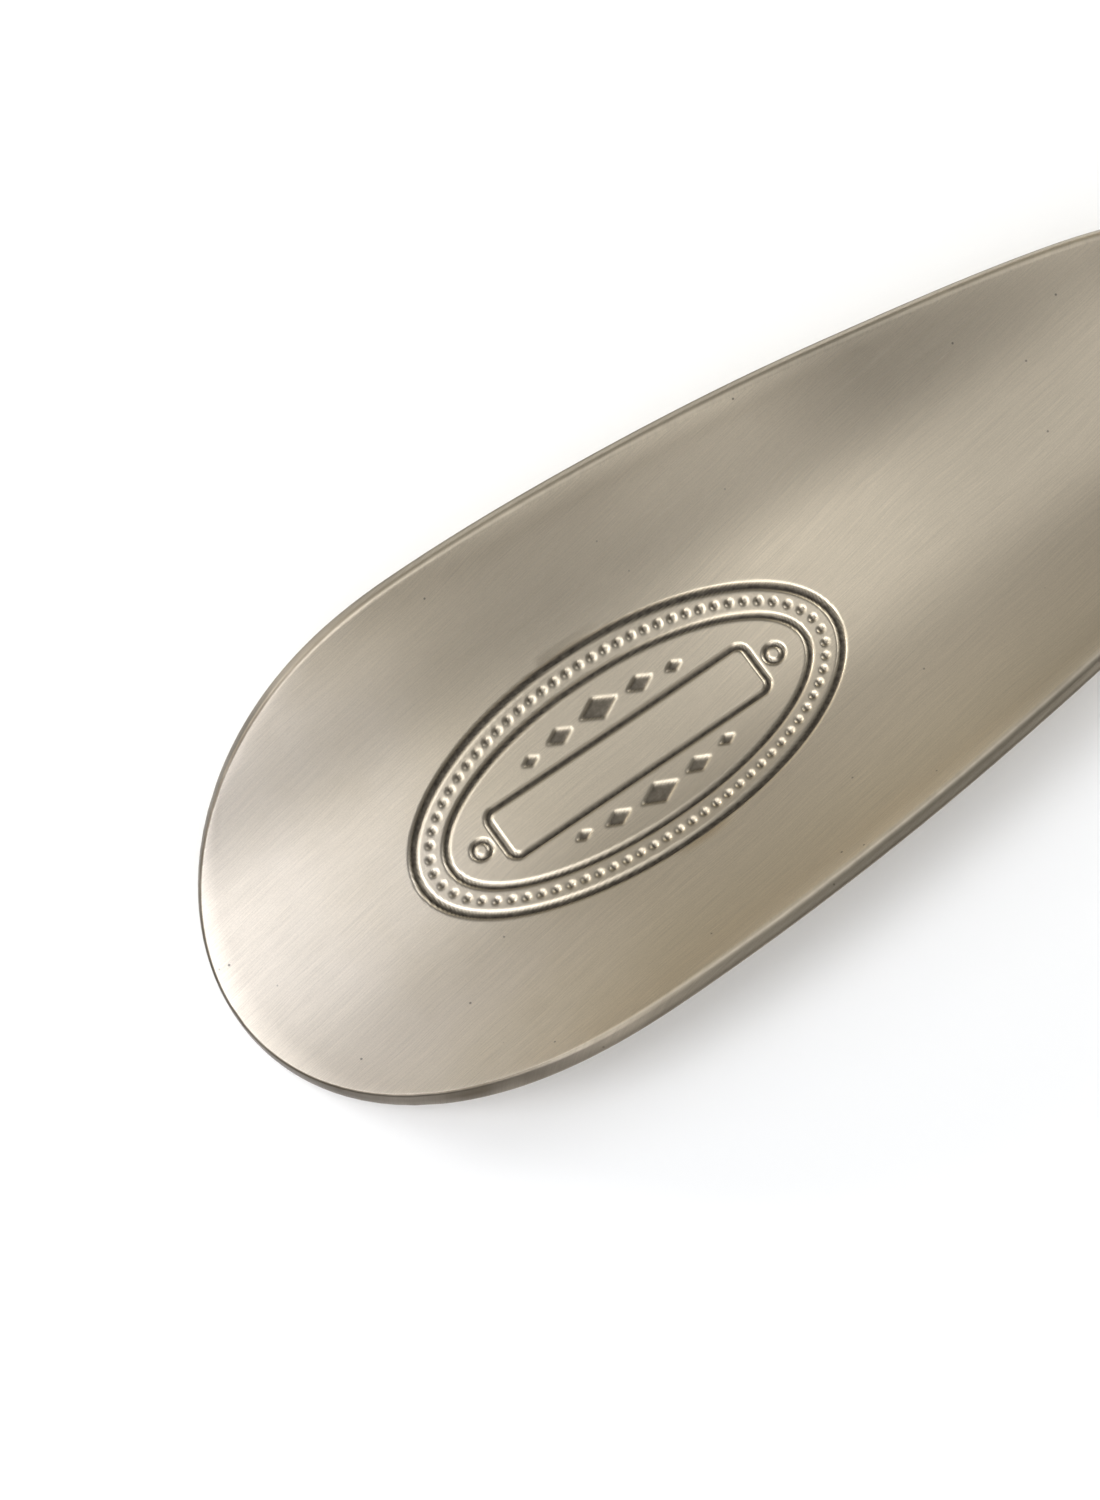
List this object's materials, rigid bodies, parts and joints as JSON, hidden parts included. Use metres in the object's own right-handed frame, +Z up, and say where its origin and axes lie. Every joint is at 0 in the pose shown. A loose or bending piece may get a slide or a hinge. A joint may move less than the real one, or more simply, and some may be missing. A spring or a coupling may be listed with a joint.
{
  "type": "long shoehorn",
  "caption": "Long metal shoehorn with a wide brushed spoon, channel-section shank, riveted leather grip and a swinging D-ring to hang it by.",
  "frame": {"origin": "centre of the plan of the whole object, on the surface it lies on", "axes": "+X along the blade from the spoon's tip towards the hang ring, +Y across the blade, +Z up out of the spoon's trough"},
  "size_m": [0.5659, 0.0422, 0.0188],
  "materials": {
    "blade_nickel": "satin-brushed antique nickel plate on pressed steel, brush lines along the blade",
    "grip_leather": "vegetable-tanned leather, waxed, with dark burnished edges",
    "welt_leather": "plain leather, burnished edge",
    "thread": "waxed linen thread",
    "rivet_nickel": "satin antique nickel",
    "ring_nickel": "satin antique nickel"
  },
  "bodies": {
    "shoehorn": {"blade": "blade_nickel", "grip_leather_top": "grip_leather", "grip_leather_bottom": "grip_leather", "welt_left": "welt_leather", "welt_right": "welt_leather", "stitching_top": "thread", "stitching_bottom": "thread", "rivet_post_1": "rivet_nickel", "rivet_post_2": "rivet_nickel", "rivet_post_3": "rivet_nickel", "rivet_cap_1": "rivet_nickel", "rivet_cap_2": "rivet_nickel", "rivet_cap_3": "rivet_nickel"},
    "ring": {"hang_ring": "ring_nickel"}
  },
  "joints": [
    {"name": "ring_swing", "type": "hinge", "parent": "shoehorn", "child": "ring", "pos_m": [0.26209, 0, 0.0067], "axis": [0, -1, 0], "range_deg": [-105, 160]}
  ]
}
